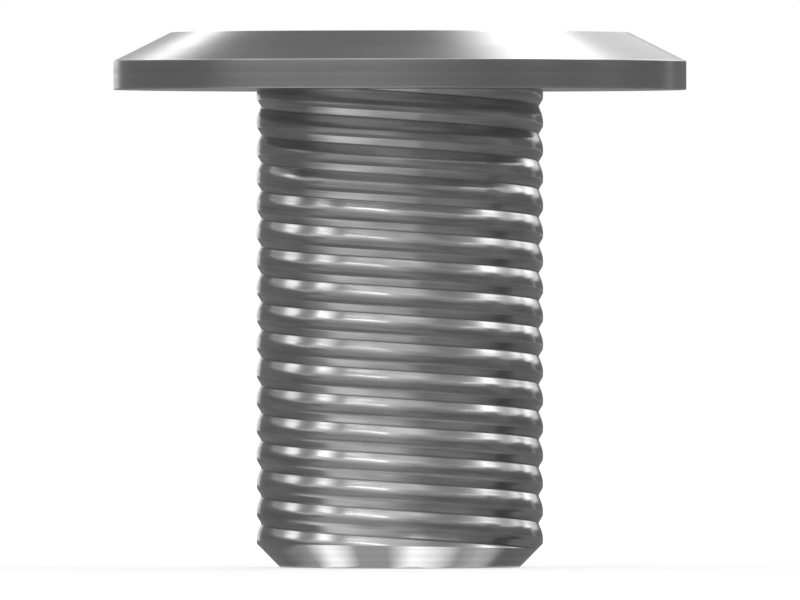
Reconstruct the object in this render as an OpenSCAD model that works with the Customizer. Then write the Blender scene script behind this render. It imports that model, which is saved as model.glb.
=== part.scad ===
// Socket head screw with a wide, very low head that slopes down to a straight rim.
// One turned piece: the shank stands on its flat end at the origin, head up, +Z along the axis.
// The shank is drawn at the outside diameter of its thread.

/* [Shank] */
// Outside diameter of the thread
shank_d = 6; // [5:0.1:9]
// Length from the underside of the head to the flat end
shank_l = 10; // [6:0.5:40]
// Height and depth of the 45 degree chamfer on the flat end
end_chamfer = 0.5; // [0.2:0.05:1.2]

/* [Head] */
// Outside diameter of the head
head_d = 12; // [9.5:0.5:20]
// Height of the straight rim round the head
rim_h = 0.6; // [0.3:0.05:2]
// Height of the slope between the rim and the flat top
slope_h = 0.6; // [0.1:0.05:2]
// Width of that slope, seen from above
slope_w = 1.2; // [0.3:0.05:1.8]
// Small bevel that breaks the two edges of the rim
edge_break = 0.03; // [0.01:0.01:0.1]

/* [Socket] */
// Width of the hexagonal socket across its flats
socket_af = 4; // [2.4:0.2:4.8]
// Depth of the socket's flat walls below the top of the head
socket_depth = 1.8; // [0.8:0.1:3]
// Width of the ledge between the socket's flats and the round cone in its floor
socket_ledge = 0.2; // [0.05:0.05:0.6]
// Depth of that cone below the ledge
socket_cone_h = 0.4; // [0.1:0.05:0.8]
// Width of the countersink that leads the key into the socket
socket_lead = 0.15; // [0.05:0.05:0.3]

/* [Hidden] */
$fn = 96;

shank_r = shank_d / 2;
head_r = head_d / 2;
end_r = shank_r - end_chamfer;
top_r = head_r - slope_w;
head_z = shank_l;
rim_top_z = head_z + rim_h;
top_z = rim_top_z + slope_h;

// The break at the rim's upper edge cuts back along the slope by the same width
break_rise = edge_break * slope_h / slope_w;

// The hexagon's corners reach further out than its flats
socket_corner_r = socket_af / 2 / cos(30);
lead_r = socket_corner_r + socket_lead;
cone_r = socket_af / 2 - socket_ledge;
socket_floor_z = top_z - socket_depth;

// Cutters run past the top of the head by this much, to cut it cleanly
overrun = 1;

// Half section of the turned blank, from the flat end up to the top of the head
module blank_section() {
    polygon([
        [0, 0],
        [end_r, 0],
        [shank_r, end_chamfer],
        [shank_r, head_z],
        [head_r - edge_break, head_z],
        [head_r, head_z + edge_break],
        [head_r, rim_top_z - edge_break],
        [head_r - edge_break, rim_top_z + break_rise],
        [top_r, top_z],
        [0, top_z]
    ]);
}

// Straight hexagonal walls, cut from the top of the head down
module socket_walls() {
    translate([0, 0, socket_floor_z])
        cylinder(h = socket_depth + overrun, r = socket_corner_r, $fn = 6);
}

// Round cone that the pilot drill leaves in the floor, clear of the flats
module socket_cone() {
    rotate_extrude()
        polygon([
            [0, socket_floor_z - socket_cone_h],
            [cone_r, socket_floor_z],
            [0, socket_floor_z + socket_cone_h]
        ]);
}

// 45 degree countersink at the mouth, just wider than the hexagon's corners
module socket_mouth() {
    rotate_extrude()
        polygon([
            [0, top_z - lead_r],
            [lead_r + overrun, top_z + overrun],
            [0, top_z + overrun]
        ]);
}

module screw() {
    color("dimgray")
        difference() {
            rotate_extrude() blank_section();
            socket_walls();
            socket_cone();
            socket_mouth();
        }
}

screw();
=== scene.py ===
"""Visual model of a low socket head screw with a two-start rolled thread, standing on its flat end.

The screw is one closed skin, built in millimetres from the flat end up, over the head and down into the
socket. It gets four finishes of one steel. The studio round it is laid out in metres and degrees.
"""
import logging
import math
from dataclasses import dataclass, field
from enum import Enum
from typing import Any, Callable, Optional, Sequence, Union

import bmesh
import bpy
from bmesh.types import BMVert
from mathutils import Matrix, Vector


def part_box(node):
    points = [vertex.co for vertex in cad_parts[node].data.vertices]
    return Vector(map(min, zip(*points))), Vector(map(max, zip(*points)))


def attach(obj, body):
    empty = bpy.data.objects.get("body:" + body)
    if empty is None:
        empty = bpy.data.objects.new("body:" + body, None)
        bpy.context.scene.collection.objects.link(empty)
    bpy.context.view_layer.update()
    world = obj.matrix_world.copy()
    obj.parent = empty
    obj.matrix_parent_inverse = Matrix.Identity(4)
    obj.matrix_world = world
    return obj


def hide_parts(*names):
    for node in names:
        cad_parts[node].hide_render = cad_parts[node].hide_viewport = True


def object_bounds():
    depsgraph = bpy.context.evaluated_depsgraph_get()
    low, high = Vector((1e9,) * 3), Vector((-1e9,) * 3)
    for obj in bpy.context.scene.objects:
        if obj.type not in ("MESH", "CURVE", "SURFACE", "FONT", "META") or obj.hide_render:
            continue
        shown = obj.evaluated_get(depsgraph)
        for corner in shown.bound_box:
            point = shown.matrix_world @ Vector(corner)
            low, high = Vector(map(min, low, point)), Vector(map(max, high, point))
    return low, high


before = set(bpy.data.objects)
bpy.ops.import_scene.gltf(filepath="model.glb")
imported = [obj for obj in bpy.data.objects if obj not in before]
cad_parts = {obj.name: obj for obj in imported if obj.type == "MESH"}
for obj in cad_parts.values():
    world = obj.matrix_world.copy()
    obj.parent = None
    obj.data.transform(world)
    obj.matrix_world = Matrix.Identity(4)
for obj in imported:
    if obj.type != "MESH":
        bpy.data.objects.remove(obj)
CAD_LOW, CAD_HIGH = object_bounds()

LOG = logging.getLogger("screw")

NODE = "screw"
BODY = "root"
METRES_PER_MM = 0.001
COLUMNS = 240  # points round the axis, a multiple of 6 so that the socket's corners fall on them
FULL_TURN = 2 * math.pi

ANGLE_SLACK = 1e-3  # share of a column's width within which two angles count as the same
CUT_SLACK = 1e-7  # millimetres within which a point counts as lying on a cut

Measure = Union[float, Callable[[float], float]]  # one value, or a function of the angle about the axis
Ring = list[BMVert]


class Skin(Enum):
    """The kinds of surface on the screw. The value is the material's place on the piece."""

    TURNED = 0
    ROLLED = 1
    BROACHED = 2
    FACED = 3


# ---------------------------------------------------------------------------------------------
# Outline and mesh helpers. Every length here is in millimetres, and the axis is upright, +Z.
# ---------------------------------------------------------------------------------------------


@dataclass(frozen=True)
class Corner:
    """One corner of a turned outline.

    Args:
        radius: distance from the axis.
        height: height above the flat end.
        edge_break: radius of the small round that takes off the corner, 0 for a sharp one.
    """

    radius: float
    height: float
    edge_break: float = 0.0


def rounded_outline(corners: Sequence[Corner], steps: int = 4) -> list[tuple[float, float]]:
    """Replaces each broken corner of an outline with an arc.

    Args:
        corners: the outline's corners in order. The first and the last stay as they are.
        steps: segments in each arc.

    Returns:
        The (radius, height) points of the finished outline.
    """
    points = [(corners[0].radius, corners[0].height)]
    for before, here, after in zip(corners, corners[1:], corners[2:]):
        middle = Vector((here.radius, here.height))
        if here.edge_break <= 0:
            points.append((middle.x, middle.y))
            continue
        back = (Vector((before.radius, before.height)) - middle).normalized()
        on = (Vector((after.radius, after.height)) - middle).normalized()
        half = back.angle(on) / 2
        centre = middle + (back + on).normalized() * (here.edge_break / math.sin(half))
        start = middle + back * (here.edge_break / math.tan(half)) - centre
        sweep = start.angle_signed(middle + on * (here.edge_break / math.tan(half)) - centre)
        for step in range(steps + 1):
            turn = -sweep * step / steps
            x = start.x * math.cos(turn) - start.y * math.sin(turn)
            y = start.x * math.sin(turn) + start.y * math.cos(turn)
            points.append((centre.x + x, centre.y + y))
    points.append((corners[-1].radius, corners[-1].height))
    return points


def column_angle(column: int) -> float:
    """Angle of one column of points about the axis, counted from +X."""
    return FULL_TURN * column / COLUMNS


def around_axis(radius: float, angle: float, height: float) -> tuple[float, float, float]:
    """Place at a radius, at an angle about the axis and at a height."""
    return radius * math.cos(angle), radius * math.sin(angle), height


class SkinDraft:
    """A closed skin that grows ring by ring, from the middle of the flat end to the bottom of the socket.

    Rings follow the outline with the metal on their left, so every face looks outwards.
    """

    def __init__(self) -> None:
        """Starts an empty draft."""
        self.mesh = bmesh.new()

    def ring(self, radius: Measure, height: Measure) -> Ring:
        """Adds one ring of points about the axis.

        Args:
            radius: its distance from the axis.
            height: its height.

        Returns:
            The ring's points in order.
        """
        points = []
        for column in range(COLUMNS):
            angle = column_angle(column)
            away = radius(angle) if callable(radius) else radius
            up = height(angle) if callable(height) else height
            points.append(self.mesh.verts.new(around_axis(away, angle, up)))
        return points

    def rings(self, outline: Sequence[tuple[float, float]]) -> list[Ring]:
        """Adds a ring for each (radius, height) point of an outline."""
        return [self.ring(radius, height) for radius, height in outline]

    def face(self, points: Sequence[BMVert], skin: Skin) -> None:
        """Adds one smooth face.

        Args:
            points: its points, counter-clockwise as seen from outside.
            skin: the kind of surface.
        """
        made = self.mesh.faces.new(points)
        made.smooth = True
        made.material_index = skin.value

    def bridge(self, first: Ring, second: Ring, skin: Skin) -> None:
        """Joins two rings with a band of quads.

        Args:
            first: the ring that comes first on the outline.
            second: the ring that comes after it.
            skin: the kind of surface.
        """
        for column in range(COLUMNS):
            on = (column + 1) % COLUMNS
            self.face((first[column], first[on], second[on], second[column]), skin)

    def bridge_all(self, rings: Sequence[Ring], skin: Skin) -> None:
        """Joins each ring to the next one."""
        for first, second in zip(rings, rings[1:]):
            self.bridge(first, second, skin)

    def close_start(self, ring: Ring, height: float, skin: Skin) -> None:
        """Closes the outline's first ring to a point on the axis.

        Args:
            ring: the first ring.
            height: the point's height.
            skin: the kind of surface.
        """
        tip = self.mesh.verts.new((0, 0, height))
        for column in range(COLUMNS):
            self.face((tip, ring[(column + 1) % COLUMNS], ring[column]), skin)

    def close_end(self, ring: Ring, height: float, skin: Skin) -> None:
        """Closes the outline's last ring to a point on the axis.

        Args:
            ring: the last ring.
            height: the point's height.
            skin: the kind of surface.
        """
        tip = self.mesh.verts.new((0, 0, height))
        for column in range(COLUMNS):
            self.face((ring[column], ring[(column + 1) % COLUMNS], tip), skin)

    def sectors(self, edge: Sequence[BMVert]) -> list[list[BMVert]]:
        """Sorts the points of an uneven edge into the sectors between neighbouring columns.

        Args:
            edge: points of one closed edge round the axis, with one on every column.

        Returns:
            For each sector, its points in order of angle, both columns' own points among them.
        """
        width = FULL_TURN / COLUMNS
        slack = width * ANGLE_SLACK
        placed = sorted((math.atan2(v.co.y, v.co.x) % FULL_TURN, v.index, v) for v in edge)
        wrapped = [(angle - FULL_TURN, v) for angle, _, v in placed if angle > FULL_TURN - slack]
        turn = wrapped + [(angle, v) for angle, _, v in placed if angle <= FULL_TURN - slack]
        turn.append((turn[0][0] + FULL_TURN, turn[0][1]))
        return [
            [v for angle, v in turn if column * width - slack <= angle <= (column + 1) * width + slack]
            for column in range(COLUMNS)
        ]

    def ring_to_edge(self, ring: Ring, edge: Sequence[BMVert], skin: Skin) -> None:
        """Joins an even ring to an uneven edge that comes after it on the outline."""
        for column, part in enumerate(self.sectors(edge)):
            self.face([ring[column], ring[(column + 1) % COLUMNS], *reversed(part)], skin)

    def edge_to_ring(self, edge: Sequence[BMVert], ring: Ring, skin: Skin) -> None:
        """Joins an uneven edge to an even ring that comes after it on the outline."""
        for column, part in enumerate(self.sectors(edge)):
            self.face([*part, ring[(column + 1) % COLUMNS], ring[column]], skin)

    def corner_normals(self, crease: float) -> list[Vector]:
        """Works out a normal for each corner of each face, so that large faces shade flat up to their rounds.

        Args:
            crease: faces that bend away from a face by more than this angle, in radians, don't share
                its shading.

        Returns:
            The normals, face by face: each is the mean of the faces round the point, by their areas.
        """
        self.mesh.normal_update()
        least = math.cos(crease)
        weighted = {face: face.normal * face.calc_area() for face in self.mesh.faces}
        normals = []
        for face in self.mesh.faces:
            for vertex in face.verts:
                total = Vector((0, 0, 0))
                for near in vertex.link_faces:
                    if near.normal.dot(face.normal) > least:
                        total += weighted[near]
                normals.append(total.normalized())
        return normals

    def finished(self, name: str, crease: float) -> bpy.types.Mesh:
        """Turns the draft into a mesh in metres.

        Args:
            name: the mesh's name.
            crease: edges that bend by more than this angle, in radians, stay sharp.

        Returns:
            The mesh.
        """
        for edge in self.mesh.edges:
            edge.smooth = edge.calc_face_angle(0.0) < crease
        normals = self.corner_normals(crease)
        for vertex in self.mesh.verts:
            vertex.co *= METRES_PER_MM
        mesh = bpy.data.meshes.new(name)
        self.mesh.to_mesh(mesh)
        self.mesh.free()
        mesh.normals_split_custom_set(normals)
        return mesh


def put_in_scene(name: str, data: Any) -> bpy.types.Object:
    """Makes an object out of a mesh, a lamp or a camera.

    Args:
        name: the object's name.
        data: what it shows.

    Returns:
        The object, in the scene.
    """
    made = bpy.data.objects.new(name, data)
    bpy.context.scene.collection.objects.link(made)
    return made


# ---------------------------------------------------------------------------------------------
# The screw. Every length here is in millimetres.
# ---------------------------------------------------------------------------------------------


@dataclass(frozen=True)
class ThreadForm:
    """The ridge that is rolled into the shank, seen in a section through the axis.

    Args:
        spacing: distance from one groove to the next along the axis.
        starts: ridges that run side by side.
        upper_slope: angle of the flank that looks up to the head, in degrees from the axis.
        lower_slope: angle of the flank that looks down, in degrees from the axis.
        crest_end: angle that the rounded crest has reached where it meets the lower flank's round.
        crest: length of the rounded crest along the axis.
        shoulder: length of the small round between the crest and the lower flank.
        root: length of the rounded groove along the axis.
        crest_steps: segments across the crest.
        shoulder_steps: segments across the shoulder.
        root_steps: segments across each half of the groove.
    """

    spacing: float = 0.5816
    starts: int = 2
    upper_slope: float = 22.0
    lower_slope: float = 30.5
    crest_end: float = 8.0
    crest: float = 0.29
    shoulder: float = 0.016
    root: float = 0.042
    crest_steps: int = 7
    shoulder_steps: int = 2
    root_steps: int = 3

    @property
    def lead(self) -> float:
        """How far a ridge travels along the axis in one turn."""
        return self.spacing * self.starts

    @property
    def radii(self) -> tuple[float, float, float]:
        """Works out the radii of the rounds from their lengths along the axis.

        Returns:
            The radii of the groove, of the shoulder and of the crest.
        """
        up, down, end = self.slopes
        return (
            self.root / (math.sin(down) + math.sin(up)),
            self.shoulder / (math.sin(down) - math.sin(end)),
            self.crest / (math.sin(end) + math.sin(up)),
        )

    @property
    def slopes(self) -> tuple[float, float, float]:
        """Angles of the upper flank, of the lower flank and of the crest's end, in radians."""
        return math.radians(self.upper_slope), math.radians(self.lower_slope), math.radians(self.crest_end)

    @property
    def rounds(self) -> tuple[float, float]:
        """Works out what the rounds take up of the depth.

        Returns:
            Their share of the depth on the lower flank's side and on the upper flank's side.
        """
        up, down, end = self.slopes
        groove, shoulder, crest = self.radii
        lower = groove * (1 - math.cos(down)) + shoulder * (math.cos(end) - math.cos(down))
        return lower + crest * (1 - math.cos(end)), (crest + groove) * (1 - math.cos(up))

    @property
    def depth(self) -> float:
        """Works out the depth at which the two flanks leave just enough room for the rounds.

        Returns:
            The groove's depth.
        """
        up, down, _ = self.slopes
        lower, upper = self.rounds
        flanks = self.spacing - self.crest - self.shoulder - self.root
        kept = lower / math.tan(down) + upper / math.tan(up)
        return (flanks + kept) / (1 / math.tan(down) + 1 / math.tan(up))

    def section(self) -> list[tuple[float, float]]:
        """Works out one ridge, from the bottom of one groove to just before the bottom of the next.

        Returns:
            (height, cut) points: height above the groove, and how far the point lies inside the crest.
        """
        up, down, end = self.slopes
        groove, shoulder, crest = self.radii
        depth = self.depth
        points = []
        for step in range(self.root_steps + 1):
            slope = down * step / self.root_steps
            points.append((groove * math.sin(slope), depth - groove * (1 - math.cos(slope))))
        lower_flank = (depth - self.rounds[0]) / math.tan(down)
        top = groove * math.sin(down) + lower_flank + shoulder * (math.sin(down) - math.sin(end))
        middle = top + crest * math.sin(end)
        inset = (crest - shoulder) * (1 - math.cos(end))
        for step in range(self.shoulder_steps):
            slope = down + (end - down) * step / self.shoulder_steps
            height = top + shoulder * (math.sin(end) - math.sin(slope))
            points.append((height, inset + shoulder * (1 - math.cos(slope))))
        for step in range(self.crest_steps + 1):
            slope = -end + (end + up) * step / self.crest_steps
            points.append((middle + crest * math.sin(slope), crest * (1 - math.cos(slope))))
        for step in range(self.root_steps):
            slope = up * (1 - step / self.root_steps)
            height = self.spacing - groove * math.sin(slope)
            points.append((height, depth - groove * (1 - math.cos(slope))))
        return points


@dataclass(frozen=True)
class ThreadedShank:
    """The shank: a flat end, its chamfer, and a left-hand thread that runs up to the head.

    Args:
        radius: radius over the thread's crests.
        length: from the flat end to the head's underside.
        end_chamfer: size of the 45 degree chamfer at the flat end.
        edge_break: small round between the flat end and the chamfer.
        clearance: how far inside the groove's radius the chamfer's last even ring lies.
        thread: the thread's form.
        phase: where on its travel a ridge starts, as a share of the spacing.
    """

    radius: float
    length: float
    end_chamfer: float = 0.5
    edge_break: float = 0.015
    clearance: float = 0.02
    thread: ThreadForm = field(default_factory=ThreadForm)
    phase: float = 0.5935

    @property
    def end_radius(self) -> float:
        """Radius of the flat end."""
        return self.radius - self.end_chamfer

    def chamfer_height(self, radius: float) -> float:
        """Height of the chamfer's cone at a radius."""
        return radius - self.end_radius

    def build_end(self, draft: SkinDraft) -> Ring:
        """Adds the flat end and the lower part of its chamfer.

        Args:
            draft: the skin to build on.

        Returns:
            The ring where the thread's cut into the chamfer can start.
        """
        below_thread = self.radius - self.thread.depth - self.clearance
        corners = [
            Corner(self.end_radius / 2, 0),
            Corner(self.end_radius, 0, self.edge_break),
            Corner(below_thread, self.chamfer_height(below_thread)),
        ]
        rings = draft.rings(rounded_outline(corners))
        draft.close_start(rings[0], 0, Skin.FACED)
        draft.bridge(rings[0], rings[1], Skin.FACED)
        draft.bridge_all(rings[1:], Skin.TURNED)
        return rings[-1]

    def build_thread(self, draft: SkinDraft) -> tuple[list[BMVert], list[BMVert]]:
        """Adds the thread, trimmed by the chamfer below and by the head's underside above.

        The rows of points run along the ridges. After a full turn a row meets the one that lies a whole
        lead below it.

        Args:
            draft: the skin to build on.

        Returns:
            The points of the lower edge, on the chamfer, and of the upper edge, at the underside.
        """
        part = bmesh.new()
        grid = [self.row_points(part, travel, radius) for travel, radius in self.rows()]
        for low, high in zip(grid, grid[1:]):
            for column in range(COLUMNS - 1):
                part.faces.new((low[column], low[column + 1], high[column + 1], high[column]))
        rows_per_lead = len(self.thread.section()) * self.thread.starts
        for row in range(rows_per_lead, len(grid) - 1):
            low, high = grid[row - rows_per_lead], grid[row - rows_per_lead + 1]
            part.faces.new((grid[row][-1], low[0], high[0], grid[row + 1][-1]))
        self.trim(part, self.chamfer_height, keep_above=True)
        self.trim(part, lambda radius: self.length, keep_above=False)
        return self.carry_over(part, draft)

    def rows(self) -> list[tuple[float, float]]:
        """Works out the rows along the ridges, from well below the flat end to well above the underside.

        Returns:
            (travel, radius) of each row: its height where it starts, and its distance from the axis.
        """
        section = self.thread.section()
        spare = 1 + self.thread.starts
        ridges = math.ceil(self.length / self.thread.spacing) + 2 * spare
        rows = []
        for ridge in range(ridges):
            base = (ridge - spare + self.phase) * self.thread.spacing + self.thread.lead
            rows.extend((base + height, self.radius - cut) for height, cut in section)
        return rows

    def row_points(self, part: bmesh.types.BMesh, travel: float, radius: float) -> Ring:
        """Adds the points of one row, which sinks by the lead in a full turn.

        Args:
            part: the thread's own mesh.
            travel: the row's height where it starts.
            radius: the row's distance from the axis.

        Returns:
            The row's points in order.
        """
        points = []
        for column in range(COLUMNS):
            angle = column_angle(column)
            height = travel - self.thread.lead * angle / FULL_TURN
            points.append(part.verts.new(around_axis(radius, angle, height)))
        return points

    @staticmethod
    def trim(part: bmesh.types.BMesh, surface: Callable[[float], float], keep_above: bool) -> None:
        """Cuts the thread along a surface that is turned about the axis.

        The thread is lowered by the surface's height, cut level and raised again.

        Args:
            part: the thread's own mesh.
            surface: gives the surface's height at a distance from the axis.
            keep_above: keeps what lies above the surface, or else what lies below it.
        """
        for v in part.verts:
            v.co.z -= surface(math.hypot(v.co.x, v.co.y))
        bmesh.ops.bisect_plane(
            part,
            geom=[*part.verts, *part.edges, *part.faces],
            dist=CUT_SLACK,
            plane_co=(0, 0, 0),
            plane_no=(0, 0, -1 if keep_above else 1),
            clear_outer=True,
        )
        for v in part.verts:
            v.co.z += surface(math.hypot(v.co.x, v.co.y))
        loose = [v for v in part.verts if not v.link_faces]
        bmesh.ops.delete(part, geom=loose, context="VERTS")

    def carry_over(self, part: bmesh.types.BMesh, draft: SkinDraft) -> tuple[list[BMVert], list[BMVert]]:
        """Copies the trimmed thread into the draft.

        Args:
            part: the thread's own mesh, which is freed.
            draft: the skin to build on.

        Returns:
            The points of the lower edge and of the upper edge.
        """
        twins = {v: draft.mesh.verts.new(v.co) for v in part.verts}
        for polygon in part.faces:
            draft.face([twins[v] for v in polygon.verts], Skin.ROLLED)
        rim = {v for e in part.edges if e.is_boundary for v in e.verts}
        lower = [twins[v] for v in rim if v.co.z < self.length / 2]
        upper = [twins[v] for v in rim if v.co.z >= self.length / 2]
        part.free()
        return lower, upper


@dataclass(frozen=True)
class KeySocket:
    """The hexagon socket in the head's top, broached over a drilled hole.

    Args:
        top: height of the head's top.
        across_flats: width of the hexagon.
        depth: from the top to the hexagon's floor.
        ledge: width of the floor left round the drilled cone.
        cone_height: how deep the cone goes below the floor.
        lead_in: how far the mouth's chamfer stands outside the hexagon's corners.
    """

    top: float
    across_flats: float = 4.0
    depth: float = 1.8
    ledge: float = 0.2
    cone_height: float = 0.4
    lead_in: float = 0.15

    @property
    def corner_radius(self) -> float:
        """Radius of the hexagon's corners."""
        return self.across_flats / math.sqrt(3)

    @property
    def mouth_radius(self) -> float:
        """Radius of the chamfer where it meets the top."""
        return self.corner_radius + self.lead_in

    def wall_radius(self, angle: float) -> float:
        """Distance of the hexagon's wall from the axis at an angle, with corners on the X axis."""
        sixth = math.pi / 3
        return self.across_flats / 2 / math.cos(angle % sixth - sixth / 2)

    def scallop_height(self, angle: float) -> float:
        """Height at which the mouth's 45 degree chamfer meets the wall at an angle."""
        return self.top - (self.mouth_radius - self.wall_radius(angle))

    def build(self, draft: SkinDraft, mouth: Ring) -> None:
        """Adds the socket below its mouth.

        Args:
            draft: the skin to build on.
            mouth: the ring at the mouth.
        """
        floor = self.top - self.depth
        scallop = draft.ring(self.wall_radius, self.scallop_height)
        wall_foot = draft.ring(self.wall_radius, floor)
        cone_radius = self.across_flats / 2 - self.ledge
        cone_mouth = draft.ring(cone_radius, floor)
        cone_waist = draft.ring(cone_radius / 2, floor - self.cone_height / 2)
        draft.bridge(mouth, scallop, Skin.TURNED)
        draft.bridge_all([scallop, wall_foot, cone_mouth, cone_waist], Skin.BROACHED)
        draft.close_end(cone_waist, floor - self.cone_height, Skin.BROACHED)


@dataclass(frozen=True)
class LowHead:
    """The thin wide head: a rim, a slope and a flat top with the key socket in it.

    Args:
        radius: radius of the rim.
        top: height of the flat top.
        rim_height: height of the rim's straight side.
        slope_height: height of the slope above the rim.
        slope_width: how far the slope comes in.
        edge_break: small round on the head's edges.
    """

    radius: float
    top: float
    rim_height: float = 0.6
    slope_height: float = 0.6
    slope_width: float = 1.2
    edge_break: float = 0.02

    @property
    def underside(self) -> float:
        """Height of the head's underside."""
        return self.top - self.slope_height - self.rim_height

    @property
    def top_radius(self) -> float:
        """Radius of the flat top."""
        return self.radius - self.slope_width

    def build(self, draft: SkinDraft, inner_radius: float, mouth_radius: float) -> tuple[Ring, Ring]:
        """Adds the underside, the rim, the slope and the top.

        Args:
            draft: the skin to build on.
            inner_radius: where the underside starts, just outside the shank.
            mouth_radius: where the top ends, at the socket's mouth.

        Returns:
            The head's first ring, on the underside, and its last one, at the socket's mouth.
        """
        corners = [
            Corner(inner_radius, self.underside),
            Corner((inner_radius + self.radius) / 2, self.underside),
            Corner(self.radius, self.underside, self.edge_break),
            Corner(self.radius, self.underside + self.rim_height, self.edge_break),
            Corner(self.top_radius, self.top, self.edge_break),
            Corner((self.top_radius + mouth_radius) / 2, self.top),
            Corner(mouth_radius, self.top),
        ]
        rings = draft.rings(rounded_outline(corners))
        draft.bridge_all(rings[:3], Skin.FACED)
        draft.bridge_all(rings[2:-2], Skin.TURNED)
        draft.bridge_all(rings[-3:], Skin.FACED)
        return rings[0], rings[-1]


@dataclass
class Screw:
    """The whole screw as one closed piece.

    Args:
        head: the head.
        shank: the shank with its thread.
        socket: the key socket.
        margin: how far outside the shank the head's own first ring lies.
        crease: edges that bend by more than this angle, in radians, stay sharp.
    """

    head: LowHead
    shank: ThreadedShank
    socket: KeySocket
    margin: float = 0.04
    crease: float = math.radians(28)

    @classmethod
    def from_frame(cls) -> "Screw":
        """Takes the overall height and the head's width from the frame's own node.

        Returns:
            The screw at the frame's size.
        """
        low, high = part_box(NODE)
        top = (high.z - low.z) / METRES_PER_MM
        head_radius = (high.x - low.x) / 2 / METRES_PER_MM
        head = LowHead(head_radius, top)
        return cls(head, ThreadedShank(head_radius / 2, head.underside), KeySocket(top))

    def mesh(self) -> bpy.types.Mesh:
        """Builds the skin from the flat end up and back down into the socket.

        Returns:
            The closed mesh.
        """
        draft = SkinDraft()
        below_thread = self.shank.build_end(draft)
        lower_edge, upper_edge = self.shank.build_thread(draft)
        draft.mesh.verts.index_update()
        draft.ring_to_edge(below_thread, lower_edge, Skin.TURNED)
        inner_radius = self.shank.radius + self.margin
        under_head, mouth = self.head.build(draft, inner_radius, self.socket.mouth_radius)
        draft.edge_to_ring(upper_edge, under_head, Skin.FACED)
        self.socket.build(draft, mouth)
        return draft.finished("socket_head_screw", self.crease)

    def piece(self) -> bpy.types.Object:
        """Makes the screw's object and puts it in the scene."""
        return put_in_scene("socket_head_screw", self.mesh())

    def turned_edges(self) -> tuple[tuple[float, float], ...]:
        """Lists the edges that get rubbed.

        Returns:
            (radius, height) of each: the rim's two edges, the top's two edges and the flat end's edge.
        """
        head = self.head
        return (
            (head.radius, head.underside),
            (head.radius, head.underside + head.rim_height),
            (head.top_radius, head.top),
            (self.socket.mouth_radius, head.top),
            (self.shank.end_radius, 0.0),
        )

    def finishes(self) -> dict[Skin, "Finish"]:
        """Chooses the finish of each skin.

        Returns:
            The finishes, worked out for this screw's sizes.
        """
        edges = self.turned_edges()
        thread = self.shank.thread
        groove = self.shank.radius - thread.depth
        return {
            Skin.TURNED: TurnedSteel(edges=edges),
            Skin.ROLLED: RolledSteel(
                shade=0.17, roughness=0.15, relief=1.6e-6, lead=thread.lead, root_radius=groove
            ),
            Skin.BROACHED: BroachedSteel(tone=0.36, roughness=0.3, relief=4.0e-7),
            Skin.FACED: TurnedSteel("faced steel", shade=0.1, relief=8e-7, marks_per_mm=9.0, edges=edges),
        }

    def dress(self, piece: bpy.types.Object) -> None:
        """Gives each skin its material.

        Args:
            piece: the screw's object.
        """
        finishes = self.finishes()
        for skin in Skin:
            piece.data.materials.append(finishes[skin].material())


# ---------------------------------------------------------------------------------------------
# Finishes
# ---------------------------------------------------------------------------------------------


MIX_SHARE, MIX_FIRST, MIX_SECOND, MIX_RESULT = 0, 6, 7, 2  # a Mix node's places for colours


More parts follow.
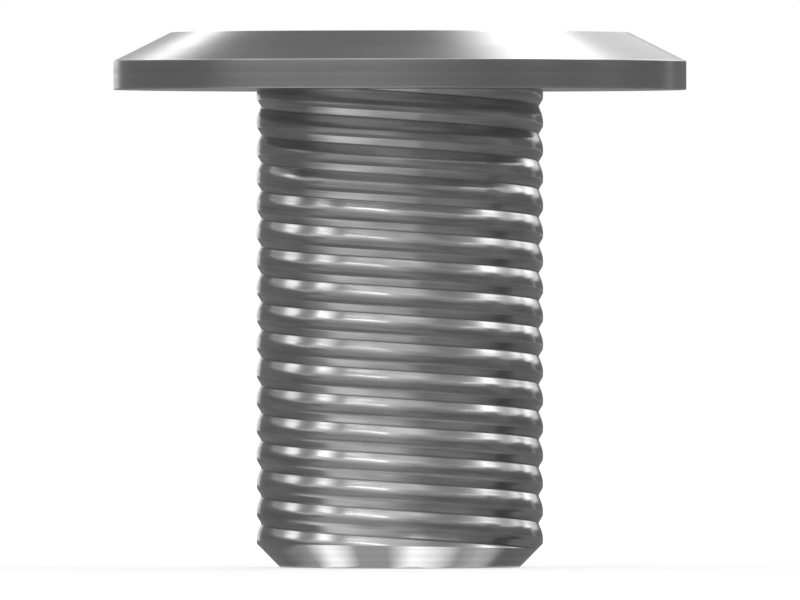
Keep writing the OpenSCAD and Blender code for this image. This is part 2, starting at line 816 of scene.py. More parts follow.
class Graph:
    """Places and links nodes in one node tree."""

    def __init__(self, tree: bpy.types.NodeTree) -> None:
        """Starts with an empty tree."""
        self.tree = tree
        tree.nodes.clear()

    def add(self, kind: str, inputs: Optional[dict[Any, Any]] = None, **settings: Any) -> bpy.types.Node:
        """Adds one node.

        Args:
            kind: the node's type name.
            inputs: a value or an output socket for each named or numbered input.
            settings: the node's own settings.

        Returns:
            The node.
        """
        node = self.tree.nodes.new(kind)
        for name, value in settings.items():
            setattr(node, name, value)
        for name, value in (inputs or {}).items():
            self.feed(node.inputs[name], value)
        return node

    def feed(self, target: bpy.types.NodeSocket, value: Any) -> None:
        """Links an output to an input, or sets the input's own value.

        Args:
            target: the input.
            value: the output or the value.
        """
        if isinstance(value, bpy.types.NodeSocket):
            self.tree.links.new(value, target)
        else:
            target.default_value = value

    def math(self, operation: str, *values: Any, clamp: bool = False) -> bpy.types.NodeSocket:
        """Adds a Math node and returns its output, for values or outputs taken in order."""
        node = self.add("ShaderNodeMath", dict(enumerate(values)), operation=operation, use_clamp=clamp)
        return node.outputs[0]

    def sum_of_squares(self, first: Any, second: Any) -> bpy.types.NodeSocket:
        """Adds up the squares of two outputs and returns the sum."""
        return self.math("MULTIPLY_ADD", first, first, self.math("MULTIPLY", second, second))

    def ramp(self, value: Any, low: float, high: float, to_low: float = 0.0, to_high: float = 1.0) -> Any:
        """Adds a smooth ramp and returns its output, which goes from to_low at low to to_high at high."""
        inputs = {"Value": value, "From Min": low, "From Max": high, "To Min": to_low, "To Max": to_high}
        return self.add("ShaderNodeMapRange", inputs, interpolation_type="SMOOTHSTEP").outputs["Result"]

    def noise(self, place: Any, scale: Any, detail: float = 2.0) -> bpy.types.NodeSocket:
        """Adds a noise in space and returns its value."""
        inputs = {"Vector": place, "Scale": scale, "Detail": detail}
        return self.add("ShaderNodeTexNoise", inputs).outputs["Fac"]

    def noise_along(self, place: Any, scale: float, detail: float = 2.0) -> bpy.types.NodeSocket:
        """Adds a noise that changes along one measure only, and returns its value."""
        inputs = {"W": place, "Scale": scale, "Detail": detail}
        return self.add("ShaderNodeTexNoise", inputs, noise_dimensions="1D").outputs["Fac"]

    def mix(self, share: Any, first: Any, second: Any) -> bpy.types.NodeSocket:
        """Adds a mix of two colours by the second one's share, and returns its output."""
        inputs = {MIX_SHARE: share, MIX_FIRST: first, MIX_SECOND: second}
        return self.add("ShaderNodeMix", inputs, data_type="RGBA").outputs[MIX_RESULT]

    def group(self, tree: bpy.types.NodeTree, inputs: dict[str, Any]) -> Any:
        """Adds a node group and fills its inputs.

        Args:
            tree: the group.
            inputs: a value or an output socket for each named input.

        Returns:
            The outputs of the group.
        """
        node = self.tree.nodes.new("ShaderNodeGroup")
        node.node_tree = tree
        for name, value in inputs.items():
            self.feed(node.inputs[name], value)
        return node.outputs


def picked(outputs: Any, *names: str) -> dict[str, Any]:
    """Picks outputs to feed to the inputs of the same names."""
    return {name: outputs[name] for name in names}


def new_material(name: str) -> tuple[bpy.types.Material, Graph]:
    """Makes a material.

    Args:
        name: its name.

    Returns:
        The material and its empty graph.
    """
    made = bpy.data.materials.new(name)
    made.use_nodes = True
    return made, Graph(made.node_tree)


class Effect:
    """A shared shader effect: a node group that is built once and placed in each material.

    Each effect has a title, the inputs it takes, as (name, kind, value), and the outputs it gives, as
    (name, kind).
    """

    title = ""
    takes: tuple[tuple[str, str, Any], ...] = ()
    gives: tuple[tuple[str, str], ...] = ()

    @classmethod
    def tree(cls) -> bpy.types.NodeTree:
        """Builds the group on first use.

        Returns:
            The group.
        """
        made = bpy.data.node_groups.get(cls.title)
        if made is not None:
            return made
        made = bpy.data.node_groups.new(cls.title, "ShaderNodeTree")
        for name, kind, value in cls.takes:
            made.interface.new_socket(name, in_out="INPUT", socket_type=kind).default_value = value
        for name, kind in cls.gives:
            made.interface.new_socket(name, in_out="OUTPUT", socket_type=kind)
        graph = Graph(made)
        given = graph.add("NodeGroupInput").outputs
        results = cls.wire(graph, given)
        graph.add("NodeGroupOutput", results)
        return made

    @classmethod
    def wire(cls, graph: Graph, given: Any) -> dict[str, Any]:
        """Builds the effect's nodes on the given inputs, and returns an output for each name it gives."""
        raise NotImplementedError


FLOAT = "NodeSocketFloat"
VECTOR = "NodeSocketVector"
POSITION = ("Position", VECTOR, (0, 0, 0))
RADIUS = ("Radius", FLOAT, 0.0)
HEIGHT = ("Height", FLOAT, 0.0)
NOISE_LOW, NOISE_MIDDLE, NOISE_HIGH = 0.3, 0.5, 0.7  # where a noise mostly lies


class AxisCoordinates(Effect):
    """Where a point of the screw lies: in millimetres, and as radius, height and turn about the axis."""

    title = "Axis Coordinates"
    gives = (("Position", VECTOR), ("Radius", FLOAT), ("Height", FLOAT), ("Turn", FLOAT))

    @classmethod
    def wire(cls, graph: Graph, given: Any) -> dict[str, Any]:
        """Splits the object's own coordinates.

        Args:
            graph: the group's graph.
            given: nothing, because this group has no inputs.

        Returns:
            The place in millimetres, the distance from the axis, the height, and the angle in turns.
        """
        place = graph.add("ShaderNodeTexCoord").outputs["Object"]
        scaled = graph.add("ShaderNodeVectorMath", {0: place, "Scale": 1 / METRES_PER_MM}, operation="SCALE")
        position = scaled.outputs[0]
        parts = graph.add("ShaderNodeSeparateXYZ", {0: position}).outputs
        return {
            "Position": position,
            "Radius": graph.math("SQRT", graph.sum_of_squares(parts["X"], parts["Y"])),
            "Height": parts["Z"],
            "Turn": graph.math("DIVIDE", graph.math("ARCTAN2", parts["Y"], parts["X"]), FULL_TURN),
        }


class TurningMarks(Effect):
    """Fine rings left by a turning tool: bands across the radius and the height that fade in and out."""

    title = "Turning Marks"
    takes = (POSITION, RADIUS, HEIGHT, ("Marks per mm", FLOAT, 12.0))
    gives = (("Relief", FLOAT), ("Sheen", FLOAT))
    climb = 1.7  # how much a step up counts against a step outwards
    broad_scale = 0.4  # of the rings in the sheen, against those in the relief
    fade_scale = 0.45  # patches per millimetre in which the rings fade
    least = 0.4  # what is left of the relief where it has faded

    @classmethod
    def wire(cls, graph: Graph, given: Any) -> dict[str, Any]:
        """Draws bands from two noises along the outline.

        Args:
            graph: the group's graph.
            given: the place on the screw, and the density of the rings.

        Returns:
            The height of the rings, and a mask of broader ones.
        """
        along = graph.math("ADD", given["Radius"], graph.math("MULTIPLY", given["Height"], cls.climb))
        scaled = graph.math("MULTIPLY", along, given["Marks per mm"])
        fine = graph.noise_along(scaled, scale=1.0)
        broad = graph.noise_along(scaled, cls.broad_scale)
        fade = graph.noise(given["Position"], cls.fade_scale, detail=1.0)
        relief = graph.math("MULTIPLY", fine, graph.ramp(fade, NOISE_LOW, NOISE_HIGH, cls.least, 1.0))
        return {"Relief": relief, "Sheen": graph.ramp(broad, NOISE_LOW, NOISE_HIGH)}


class HelixGrain(Effect):
    """Grain drawn out along the thread, as rolling dies leave it."""

    title = "Helix Grain"
    takes = (
        POSITION,
        HEIGHT,
        ("Turn", FLOAT, 0.0),
        ("Lead", FLOAT, 1.0),
        ("Streaks per mm", FLOAT, 9.0),
        ("Stretch", FLOAT, 12.0),
    )
    gives = (("Relief", FLOAT), ("Streak", FLOAT))
    streak_scale = 0.7  # of the streaks in the tone, against those in the relief
    streak_from, streak_to = 0.35, 0.65  # the noise at which a streak starts and is full

    @classmethod
    def wire(cls, graph: Graph, given: Any) -> dict[str, Any]:
        """Shears the height by the turn, then stretches a noise along the helix.

        Args:
            graph: the group's graph.
            given: the place on the screw, the thread's lead, and the grain's density and stretch.

        Returns:
            The height of the grain, and a mask of streaks.
        """
        travel = graph.math("ADD", given["Height"], graph.math("MULTIPLY", given["Turn"], given["Lead"]))
        parts = graph.add("ShaderNodeSeparateXYZ", {0: given["Position"]}).outputs
        drawn = graph.math("DIVIDE", 1.0, given["Stretch"])
        sides = {name: graph.math("MULTIPLY", parts[name], drawn) for name in ("X", "Y")}
        place = graph.add("ShaderNodeCombineXYZ", {**sides, "Z": travel}).outputs[0]
        grain = graph.noise(place, given["Streaks per mm"])
        slow = graph.math("MULTIPLY", given["Streaks per mm"], cls.streak_scale)
        streak = graph.ramp(graph.noise(place, slow), cls.streak_from, cls.streak_to)
        return {"Relief": grain, "Streak": streak}


class Smudges(Effect):
    """Faint smudges left by handling."""

    title = "Smudges"
    takes = (POSITION, ("Patches per mm", FLOAT, 0.9))
    gives = (("Smudge", FLOAT),)
    smudge_from, smudge_to = 0.35, 0.7  # the noise at which a smudge starts and is full

    @classmethod
    def wire(cls, graph: Graph, given: Any) -> dict[str, Any]:
        """Lays a broad soft cloud, and returns it as a mask of the smudges."""
        cloud = graph.noise(given["Position"], given["Patches per mm"], detail=3.0)
        return {"Smudge": graph.ramp(cloud, cls.smudge_from, cls.smudge_to)}


class EdgeWear(Effect):
    """A rubbed band round one turned edge, given by its radius and height."""

    title = "Edge Wear"
    takes = (
        POSITION,
        RADIUS,
        HEIGHT,
        ("Edge Radius", FLOAT, 1.0),
        ("Edge Height", FLOAT, 0.0),
        ("Width", FLOAT, 0.06),
    )
    gives = (("Wear", FLOAT),)
    full_to = 0.3  # share of the width up to which the edge is fully rubbed
    patches_per_mm = 3.0

    @classmethod
    def wire(cls, graph: Graph, given: Any) -> dict[str, Any]:
        """Fades with the distance from the edge, broken up by a noise.

        Args:
            graph: the group's graph.
            given: the place on the screw, the edge's place, and the band's width.

        Returns:
            A mask of the wear.
        """
        across = graph.math("SUBTRACT", given["Radius"], given["Edge Radius"])
        along = graph.math("SUBTRACT", given["Height"], given["Edge Height"])
        distance = graph.math("SQRT", graph.sum_of_squares(across, along))
        share = graph.math("DIVIDE", distance, given["Width"])
        uneven = graph.noise(given["Position"], cls.patches_per_mm)
        reach = graph.math("SUBTRACT", share, graph.math("SUBTRACT", uneven, NOISE_MIDDLE))
        return {"Wear": graph.ramp(reach, cls.full_to, 1.0, 1.0, 0.0)}


@dataclass(frozen=True)
class Finish:
    """What every steel finish has.

    Args:
        title: the material's name.
        tone: the steel's own grey.
        shade: how far the tone swings up and down between clean and streaked places, as a share.
        roughness: roughness of the clean surface.
        smudge: how much rougher streaked and smudged places are.
        relief: depth of the grain in metres.
        streak_share: how much of the change in tone comes from streaks. Smudges bring the rest.
        worn_cover: how much of the tone wear can change, as a share.
        worn_tone: tone of worn steel, as a factor.
        worn_polish: how much less rough worn steel is.
        groove_shade_tone: tone of the painted shade at the bottoms of the thread's grooves, as a factor.
    """

    title: str = "steel"
    tone: float = 0.43
    shade: float = 0.06
    roughness: float = 0.2
    smudge: float = 0.06
    relief: float = 2.0e-7
    streak_share: float = 0.8
    worn_cover: float = 0.6
    worn_tone: float = 1.35
    worn_polish: float = 0.04
    # tone that the painted shade in the thread's grooves darkens to
    groove_shade_tone: float = 0.5

    def grey(self, factor: float) -> tuple[float, float, float, float]:
        """The steel's own grey times a factor, up to white."""
        level = min(1.0, self.tone * factor)
        return (level, level, level, 1.0)

    def material(self) -> bpy.types.Material:
        """Builds the material.

        Returns:
            The material, ready for a material slot.
        """
        made, graph = new_material(self.title)
        steel = graph.add("ShaderNodeBsdfPrincipled", {"Metallic": 1.0})
        graph.add("ShaderNodeOutputMaterial", {"Surface": steel.outputs[0]})
        axis = graph.group(AxisCoordinates.tree(), {})
        smudge = graph.group(Smudges.tree(), {"Position": axis["Position"]})["Smudge"]
        relief, streak, wear, groove_shade = self.surface(graph, axis)
        smudged = graph.math("MULTIPLY", smudge, 1 - self.streak_share)
        mixed = graph.math("MULTIPLY_ADD", streak, self.streak_share, smudged)
        clean = graph.mix(mixed, self.grey(1 + self.shade), self.grey(1 - self.shade))
        worn = graph.mix(graph.math("MULTIPLY", wear, self.worn_cover), clean, self.grey(self.worn_tone))
        rough = graph.math("MULTIPLY_ADD", mixed, self.smudge, self.roughness)
        # Painted shade: the colour darkens towards a lower tone at the bottoms of the thread's grooves.
        graph.feed(steel.inputs["Base Color"], graph.mix(groove_shade, worn, self.grey(self.groove_shade_tone)))
        graph.feed(steel.inputs["Roughness"], graph.math("MULTIPLY_ADD", wear, -self.worn_polish, rough))
        bump = graph.add("ShaderNodeBump", {"Strength": 1.0, "Distance": self.relief, "Height": relief})
        graph.feed(steel.inputs["Normal"], bump.outputs["Normal"])
        return made

    def surface(self, graph: Graph, axis: Any) -> tuple[Any, Any, Any, Any]:
        """Builds the grain, and returns outputs for the relief, the streaks, the wear and the painted shade
        in the grooves.
        """
        raise NotImplementedError


@dataclass(frozen=True)
class TurnedSteel(Finish):
    """Bright turned steel, with rubbed edges.

    Args:
        marks_per_mm: density of the tool's rings.
        edges: (radius, height) of each edge that gets rubbed.
    """

    title: str = "turned steel"
    marks_per_mm: float = 12.0
    edges: tuple[tuple[float, float], ...] = ()

    def surface(self, graph: Graph, axis: Any) -> tuple[Any, Any, Any, Any]:
        """Lays rings from the tool, and wear on each edge.

        Args:
            graph: the material's graph.
            axis: the outputs of the axis coordinates.

        Returns:
            Outputs for the relief, the streaks in tone and the wear, and no painted shade.
        """
        place = picked(axis, "Position", "Radius", "Height")
        rings = graph.group(TurningMarks.tree(), {**place, "Marks per mm": self.marks_per_mm})
        wear: Any = 0.0
        for radius, height in self.edges:
            band = {**place, "Edge Radius": radius, "Edge Height": height}
            wear = graph.math("MAXIMUM", graph.group(EdgeWear.tree(), band)["Wear"], wear)
        return rings["Relief"], rings["Sheen"], wear, 0.0


@dataclass(frozen=True)
class RolledSteel(Finish):
    """Rolled steel with a grain along the thread, and painted shade that darkens the bottoms of the grooves.

    Args:
        lead: travel of the thread in one turn.
        root_radius: radius of the bottom of the grooves.
        groove_shade_height: how far above the bottom of a groove the painted shade reaches.
        groove_shade: how much the painted shade darkens the bottom of a groove, as a share.
    """

    title: str = "rolled thread steel"
    lead: float = 1.0
    root_radius: float = 3.0
    groove_shade_height: float = 0.012
    groove_shade: float = 0.6

    def surface(self, graph: Graph, axis: Any) -> tuple[Any, Any, Any, Any]:
        """Lays grain along the helix, and painted shade in the grooves.

        Args:
            graph: the material's graph.
            axis: the outputs of the axis coordinates.

        Returns:
            Outputs for the relief, the streaks in tone and the painted shade in the grooves, and no wear.
        """
        place = picked(axis, "Position", "Height", "Turn")
        grain = graph.group(HelixGrain.tree(), {**place, "Lead": self.lead})
        # Painted shade in the grooves: strongest at the bottom of a groove, gone a little above it.
        top = self.root_radius + self.groove_shade_height
        groove_shade = graph.ramp(axis["Radius"], self.root_radius, top, self.groove_shade, 0.0)
        return grain["Relief"], grain["Streak"], 0.0, groove_shade


@dataclass(frozen=True)
class BroachedSteel(Finish):
    """Steel in the socket: duller, with grain running up and down the walls.

    Args:
        grain_per_mm: density of the grain.
        stretch: how far the grain is drawn out along the axis.
    """

    title: str = "broached socket steel"
    grain_per_mm: float = 8.0
    stretch: float = 10.0

    def surface(self, graph: Graph, axis: Any) -> tuple[Any, Any, Any, Any]:
        """Lays grain along the axis.

        Args:
            graph: the material's graph.
            axis: the outputs of the axis coordinates.

        Returns:
            Outputs for the relief and the streaks in tone, and no wear or painted shade.
        """
        shares = {0: axis["Position"], 1: (1.0, 1.0, 1 / self.stretch)}
        drawn = graph.add("ShaderNodeVectorMath", shares, operation="MULTIPLY").outputs[0]
        grain = graph.noise(drawn, self.grain_per_mm)
        return grain, grain, 0.0, 0.0


# ---------------------------------------------------------------------------------------------
# Studio. Lengths here are in metres and angles in degrees.
# ---------------------------------------------------------------------------------------------

WHITE = (1.0, 1.0, 1.0, 1.0)
CARD_STEP = 4.0  # the widest step between a card's points, in degrees


def bearing(azimuth: float, elevation: float) -> Vector:
    """Unit vector from the screw, by degrees to the right of the camera's side and above the horizon."""
    turn, rise = math.radians(azimuth), math.radians(elevation)
    return Vector((math.sin(turn) * math.cos(rise), -math.cos(turn) * math.cos(rise), math.sin(rise)))


class Rays(Enum):
    """The kinds of ray that see the studio itself."""

    CAMERA = "Is Camera Ray"
    GLOSSY = "Is Glossy Ray"
    TRANSMISSION = "Is Transmission Ray"


def seen_directly(graph: Graph) -> bpy.types.NodeSocket:
    """Adds a switch that is 1 for camera, glossy and transmission rays.

    Args:
        graph: the graph of the floor or of the world.

    Returns:
        The switch's output.
    """
    path = graph.add("ShaderNodeLightPath").outputs
    either = graph.math("ADD", path[Rays.CAMERA.value], path[Rays.GLOSSY.value], clamp=True)
    return graph.math("ADD", either, path[Rays.TRANSMISSION.value], clamp=True)


@dataclass(frozen=True)
class Softbox:
    """A soft rectangular lamp that faces the screw.

    Args:
        name: its name.
        azimuth: degrees from the camera's side, positive to the right.
        elevation: degrees above the horizon.
        width: how wide it looks from the screw, in degrees.
        height: how high it looks from the screw, in degrees.
        level: brightness of its face, where 1 is white.
        distance: metres from the screw.
    """

    name: str
    azimuth: float
    elevation: float
    width: float
    height: float
    level: float
    distance: float = 0.35

    def spread(self, angle: float) -> float:
        """Size of a face that looks this many degrees wide from the screw."""
        return 2 * self.distance * math.tan(math.radians(angle / 2))

    def place(self, target: Vector) -> bpy.types.Object:
        """Makes the lamp.

        Args:
            target: the point it faces.

        Returns:
            The lamp's object.
        """
        lamp = bpy.data.lights.new(self.name, "AREA")
        lamp.shape = "RECTANGLE"
        lamp.size = self.spread(self.width)
        lamp.size_y = self.spread(self.height)
        # A face as bright as white gives off pi watts from each square metre.
        lamp.energy = self.level * math.pi * lamp.size * lamp.size_y
        made = put_in_scene(self.name, lamp)
        away = bearing(self.azimuth, self.elevation)
        made.location = target + away * self.distance
        made.rotation_mode = "QUATERNION"
        made.rotation_quaternion = away.to_track_quat("Z", "Y")
        made.visible_camera = False
        return made


def with_margins(start: float, end: float, margins: tuple[float, float], step: float) -> list[float]:
    """Divides a stretch evenly, with a strip of its own at either end.

    Args:
        start: where the stretch starts.
        end: where it ends.
        margins: widths of the strips at the start and at the end.
        step: the widest step between the strips.

    Returns:
        The places in order.
    """
    first = start + margins[0]
    inside = end - margins[1] - first
    count = max(1, math.ceil(inside / step))
    return [start, *(first + inside * part / count for part in range(count + 1)), end]


@dataclass(frozen=True)
class Card:
    """A soft-edged card that only the polished steel sees, so it takes no light from the floor.

    Where two cards overlap as seen from the screw, the nearer one hides the other.

    Args:
        name: its name.
        left: azimuth of its left edge in degrees.
        right: azimuth of its right edge in degrees.
        level: brightness of the card, where 1 is white.
        sides: degrees over which its left and right sides fade out.
    """

    name: str
    left: float
    right: float
    level: float
    sides: tuple[float, float] = field(default=(5.0, 5.0), kw_only=True)

    COVER = "cover"

    def grid(self, target: Vector) -> list[list[Vector]]:
        """Rows of as many points each. At the outermost ones, the card has faded away."""
        raise NotImplementedError

    def azimuths(self) -> list[float]:
        """Azimuths of the card's columns of points."""
        return with_margins(self.left, self.right, self.sides, CARD_STEP)

    def place(self, target: Vector) -> bpy.types.Object:
        """Makes the card.

        Args:
            target: the middle of the screw.

        Returns:
            The card's object.
        """
        rows = self.grid(target)
        across = len(rows[0])
        faces = []
        for row in range(len(rows) - 1):
            for column in range(across - 1):
                first = row * across + column
                faces.append((first, first + 1, first + across + 1, first + across))
        mesh = bpy.data.meshes.new(self.name)
        mesh.from_pydata([point for row in rows for point in row], [], faces)
        cover = mesh.attributes.new(self.COVER, "FLOAT", "POINT")
        for row in range(len(rows)):
            for column in range(across):
                inside = 0 < row < len(rows) - 1 and 0 < column < across - 1
                cover.data[row * across + column].value = 1.0 if inside else 0.0
        mesh.materials.append(self.paint())
        made = put_in_scene(self.name, mesh)
        made.visible_camera = False
        made.visible_diffuse = False
        made.visible_shadow = False
        return made

    def paint(self) -> bpy.types.Material:
        """Makes the card's even grey, which fades out at its edges.

        Returns:
            The card's material.
        """
        made, graph = new_material(self.name)
        cover = graph.add("ShaderNodeAttribute", attribute_name=self.COVER).outputs["Fac"]
        clear = graph.add("ShaderNodeBsdfTransparent").outputs[0]
        glow = graph.add("ShaderNodeEmission", {"Color": WHITE, "Strength": self.level}).outputs[0]
        card = graph.add("ShaderNodeMixShader", {0: cover, 1: clear, 2: glow}).outputs[0]
        graph.add("ShaderNodeOutputMaterial", {"Surface": card})
        made.cycles.emission_sampling = "NONE"
        return made


@dataclass(frozen=True)
class BentCard(Card):
    """A card that stands far off, bent round the screw.

    Args:
        bottom: elevation of its lower edge in degrees.
        top: elevation of its upper edge in degrees.
        fade: degrees over which its lower and upper edges fade out.
        distance: metres from the screw.
    """

    bottom: float
    top: float
    fade: float = 3.0
    distance: float = 0.3

    def grid(self, target: Vector) -> list[list[Vector]]:
        """Lays the card's points on a ball round the screw.

        Args:
            target: the middle of the screw.

        Returns:
            Rows of points from the lower to the upper edge.
        """
        return [
            [target + bearing(azimuth, elevation) * self.distance for azimuth in self.azimuths()]
            for elevation in with_margins(self.bottom, self.top, (self.fade, self.fade), CARD_STEP)
        ]


@dataclass(frozen=True)
class TableCard(Card):
    """A card that lies on the floor round the screw and opens outwards like a fan.

    Args:
        inner: radius of its inner edge in metres.
        length: metres from its inner to its outer edge.
        ends: metres over which its inner and outer edges fade out.
        lift: its height above the screw's flat end in metres.
        fan: how far its ribs turn aside, as a factor on the azimuth they start at. 1 is straight out.
    """

    inner: float
    length: float = 0.3
    ends: tuple[float, float] = (5e-5, 5e-5)
    lift: float = 4e-6
    fan: float = 1.0

    def grid(self, target: Vector) -> list[list[Vector]]:
        """Lays the card's points level, on ribs that open outwards.

        Args:
            target: the middle of the screw.

        Returns:
            Rows of points from the inner to the outer edge.
        """
        middle = Vector((target.x, target.y, self.lift))
        return [
            [
                middle + bearing(azimuth, 0) * self.inner + bearing(azimuth * self.fan, 0) * reach
                for azimuth in self.azimuths()
            ]
            for reach in with_margins(0.0, self.length, self.ends, self.length)
        ]


@dataclass(frozen=True)
class FarTableCard(TableCard):
    """A table card that starts well away from the screw."""

    inner: float = 0.0115
    length: float = 0.0115
    ends: tuple[float, float] = (3e-3, 4e-3)


@dataclass(frozen=True)
class NearTableCard(TableCard):
    """A table card that starts just outside the flat end and opens wide."""

    inner: float = 0.003
    length: float = 0.015
    ends: tuple[float, float] = (1e-4, 4e-3)
    fan: float = 2.65


@dataclass(frozen=True)
class FootCard(TableCard):
    """A short card at the screw's foot, which lights the end's chamfer from below."""

    inner: float = 0.00251
    length: float = 8e-4
    fan: float = 2.0


@dataclass(frozen=True)
class Floor:
    """A pale round floor that keeps the screw's shadow and fades to pure white away from it.

    Args:
        radius: metres from the screw to the floor's edge.
        gap: metres between the screw's flat end and the floor, so that the two faces don't coincide.
        paint: how much of the light that falls on it the floor gives back.
        glow: the white that is added near the screw for rays that see the floor directly.
        fade_from: distance from the screw, in metres, where the white starts to rise.
        fade_to: distance from the screw, in metres, where it is full.
        corners: points round its edge.
    """

    radius: float = 0.4
    gap: float = 5e-6
    paint: float = 0.55
    glow: float = 0.665
    fade_from: float = 0.012
    fade_to: float = 0.05
    corners: int = 72

    def place(self, height: float) -> bpy.types.Object:
        """Makes the floor.

        Args:
            height: the height of what stands on it.

        Returns:
            The floor's object.
        """
        down = Vector((0, 0, height - self.gap))
        rim = [bearing(360 * corner / self.corners, 0) * self.radius + down for corner in range(self.corners)]
        mesh = bpy.data.meshes.new("floor")
        mesh.from_pydata(rim, [], [tuple(range(self.corners))])
        mesh.materials.append(self.material())
        made = put_in_scene("floor", mesh)
        return made

    def material(self) -> bpy.types.Material:
        """Builds the floor's paint, with the added white for rays that see it directly.

        Returns:
            The floor's material.
        """
        made, graph = new_material("pale floor")
        paint = graph.add("ShaderNodeBsdfDiffuse", {"Color": (self.paint, self.paint, self.paint, 1)})
        place = graph.add("ShaderNodeTexCoord").outputs["Object"]
        away = graph.add("ShaderNodeVectorMath", {0: place}, operation="LENGTH").outputs["Value"]
        white = graph.ramp(away, self.fade_from, self.fade_to, self.glow, 1.0)
        strength = graph.math("MULTIPLY", seen_directly(graph), white)
        glow = graph.add("ShaderNodeEmission", {"Color": WHITE, "Strength": strength})
        both = graph.add("ShaderNodeAddShader", {0: paint.outputs[0], 1: glow.outputs[0]})
        graph.add("ShaderNodeOutputMaterial", {"Surface": both.outputs[0]})
        made.cycles.emission_sampling = "NONE"
        return made


@dataclass(frozen=True)
class Backdrop:
    """The white room: full white for rays that see it directly, a plain soft light for the rest.

    Args:
        white: its brightness where it is seen.
        fill: its brightness as a light.
    """

    white: float = 1.0
    fill: float = 0.5

    def hang(self) -> None:
        """Sets up the world."""
        world = bpy.data.worlds.new("white room")
        bpy.context.scene.world = world
        world.use_nodes = True
        graph = Graph(world.node_tree)
        strength = graph.ramp(seen_directly(graph), 0.0, 1.0, self.fill, self.white)
        back = graph.add("ShaderNodeBackground", {"Color": WHITE, "Strength": strength})
        graph.add("ShaderNodeOutputWorld", {"Surface": back.outputs[0]})


@dataclass(frozen=True)
class LongLens:
    """A level camera far in front of the screw.

    Args:
        lens: focal length in millimetres.
        head_share: share of the picture's width that the head takes.
        sensor: the sensor's width in millimetres.
        sight: distances in metres between which it sees.
    """

    lens: float = 1250.0
    head_share: float = 0.71625
    sensor: float = 36.0
    sight: tuple[float, float] = (0.01, 100.0)

    def place(self, low: Vector, high: Vector) -> bpy.types.Object:
        """Makes the camera and puts it in charge.

        Args:
            low: the screw's lowest corner.
            high: the screw's highest corner.

        Returns:
            The camera's object.
        """
        data = bpy.data.cameras.new("camera")
        data.lens = self.lens
        data.sensor_width = self.sensor
        data.sensor_fit = "HORIZONTAL"
        data.clip_start, data.clip_end = self.sight
        middle = (low + high) / 2
        width = (high.x - low.x) / self.head_share
        away = width * self.lens / self.sensor
        made = put_in_scene("camera", data)
        made.location = middle + bearing(0, 0) * away
        made.rotation_euler = (math.pi / 2, 0, 0)
        bpy.context.scene.camera = made
        return made


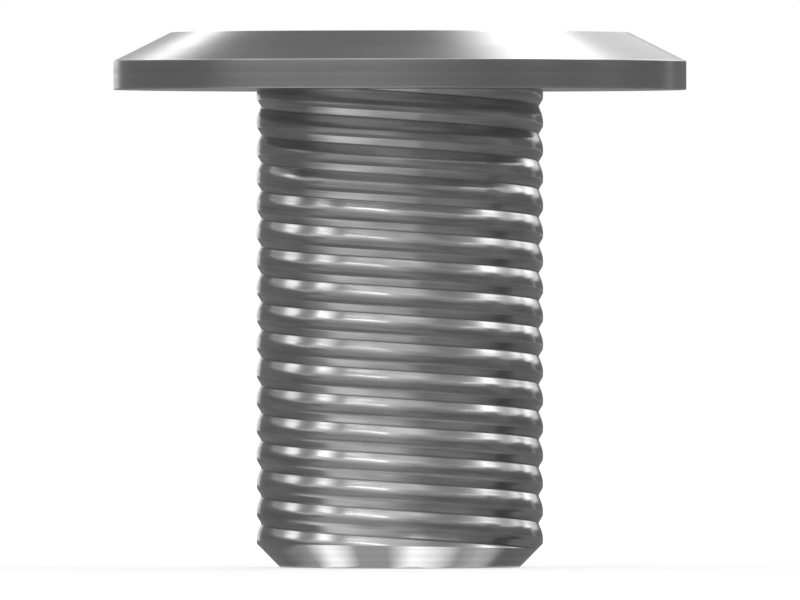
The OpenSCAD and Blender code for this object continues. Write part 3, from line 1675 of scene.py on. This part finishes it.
@dataclass(frozen=True)
class Studio:
    """Everything round the screw: room, floor, lamps, cards and camera.

    The cards stand between the screw and the lamps and white walls, so that the polished steel shows soft
    light and dark bands. They take no light from anything else.

    Args:
        floor: the floor.
        backdrop: the room.
        camera: the camera.
        softboxes: the lamps, each by its azimuth, elevation, width, height and level.
        cards: the cards, each by the azimuths of its sides and its level. A bent card's elevations follow.
    """

    floor: Floor = Floor()
    backdrop: Backdrop = Backdrop()
    camera: LongLens = LongLens()
    softboxes: tuple[Softbox, ...] = (
        Softbox("right rear softbox", 127, 24.4, 60, 22.5, 1.12),
        Softbox("rear high strip", 165.0, 43.5, 12, 15, 2.4),
        Softbox("left rear strip", -168.5, 26.5, 8, 7, 1.9),
        Softbox("left side strip", -106, 29.5, 14, 16, 0.95),
        Softbox("left front upper strip", -69.4, 41.7, 11.2, 5, 2.0),
        Softbox("left front lower strip", -69.4, 33.8, 11.2, 4.5, 2.2),
        Softbox("front thin strip", -30, 37.4, 34, 3, 3.6),
        Softbox("front high softbox", 4, 45, 34, 14, 0.15),
        Softbox("right side strip", 90.3, 37.5, 12.6, 15, 2.0),
    )
    cards: tuple[Card, ...] = (
        BentCard("left card", -158.7, -62, 0.21, -4, 19.5, distance=0.32),
        BentCard("left slip", -136, -107, 0.5, 15, 25.5, sides=(5, 9), distance=0.317),
        BentCard("left rear card", -167, -148, 0.2, 5, 42, distance=0.322),
        BentCard("left gap card", -99, -78, 0.42, 20, 48, distance=0.324),
        BentCard("front left gap card", -59, -27, 0.45, 36.5, 52, sides=(5, 14), distance=0.318),
        BentCard("front left gap slip", -60, -45, 0.45, 32, 50, sides=(5, 6), distance=0.319),
        BentCard("front high slip", -34, -8, 0.73, 39.5, 52, fade=2, sides=(4, 8), distance=0.3205),
        BentCard("front card", -80, 84, 0.21, -4, 22, distance=0.326),
        BentCard("front left card", -84, 34, 0.46, -4, 14, sides=(18, 44)),
        BentCard("front left upper card", -68, 12, 0.55, 12, 27, sides=(8, 14), distance=0.31),
        BentCard("front right upper card", 19, 82, 0.42, 36, 54, sides=(26, 5), distance=0.312),
        BentCard("front right middle card", -4, 79, 0.42, 19, 39, sides=(20, 5), distance=0.314),
        BentCard("right side card", 44, 70, 0.28, -4, 8, sides=(8, 8)),
        BentCard("front right slip", 0, 62, 0.64, 29.5, 36, fade=2, sides=(9, 9), distance=0.308),
        BentCard("right side slip", 54, 86, 1.5, 27, 34.5, sides=(9, 5), distance=0.306),
        BentCard("right card", 76, 104, 0.24, -4, 29, distance=0.328),
        BentCard("right upper card", 93, 125, 0.72, 18, 29, fade=2, sides=(5, 14), distance=0.31),
        BentCard("right low card", 92, 136, 0.18, -4, 20.5, sides=(5, 10), distance=0.33),
        BentCard("right lower card", 118, 145, 0.18, -4, 14, sides=(5, 10), distance=0.332),
        BentCard("right rear card", 138, 180, 0.18, -4, 8.5, distance=0.334),
        BentCard("rear card", 166, 206, 0.22, 32, 64, sides=(8, 5), distance=0.336),
        BentCard("rear low card", 173, 192, 0.5, 2, 21, fade=5, distance=0.338),
        TableCard("dark table card", -180, 180, 0.23, 0.0025, lift=2e-6, sides=(0, 0)),
        FarTableCard("far table card", -92, 92, 0.42, lift=3e-6, sides=(22, 20)),
        FarTableCard("far front table card", -84, 50, 0.85, sides=(40, 34)),
        NearTableCard("front table card", -41.5, 8, 0.8, lift=6e-6, sides=(10, 31)),
        NearTableCard("left table slip", -35, -14, 0.95, lift=8e-6, sides=(6, 12)),
        NearTableCard("front right table card", 0, 32, 0.32, lift=4.4e-6, sides=(6, 12)),
        TableCard("right table card", 38, 51, 0.1, 0.003, 0.01, ends=(1e-4, 1e-3), lift=5e-6, fan=2.4),
        FootCard("foot card", -61, 50, 0.63, lift=1e-5, sides=(21, 12)),
        FootCard("left foot slip", -41.5, -18.5, 2.1, lift=1.2e-5, sides=(9, 10)),
        FootCard("middle foot slip", -5.5, 26, 2.2, lift=1.2e-5, sides=(10, 18)),
        FootCard("right foot slip", 27, 47, 0.85, lift=1.4e-5, sides=(8, 9)),
    )

    def set_up(self, low: Vector, high: Vector) -> None:
        """Places everything round the screw.

        Args:
            low: the screw's lowest corner.
            high: the screw's highest corner.
        """
        middle = (low + high) / 2
        self.backdrop.hang()
        self.floor.place(low.z)
        for softbox in self.softboxes:
            softbox.place(middle)
        for card in self.cards:
            card.place(middle)
        self.camera.place(low, high)
        bpy.context.scene.view_settings.view_transform = "Standard"


def main() -> None:
    """Builds the screw, dresses it and sets up the studio."""
    logging.basicConfig(level=logging.INFO, format="%(name)s: %(message)s")
    screw = Screw.from_frame()
    piece = screw.piece()
    screw.dress(piece)
    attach(piece, BODY)
    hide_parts(NODE)
    depth = screw.shank.thread.depth
    LOG.info("%s: %d faces, groove %.3f mm deep", piece.name, len(piece.data.polygons), depth)
    Studio().set_up(CAD_LOW, CAD_HIGH)


if __name__ == "__main__":
    main()
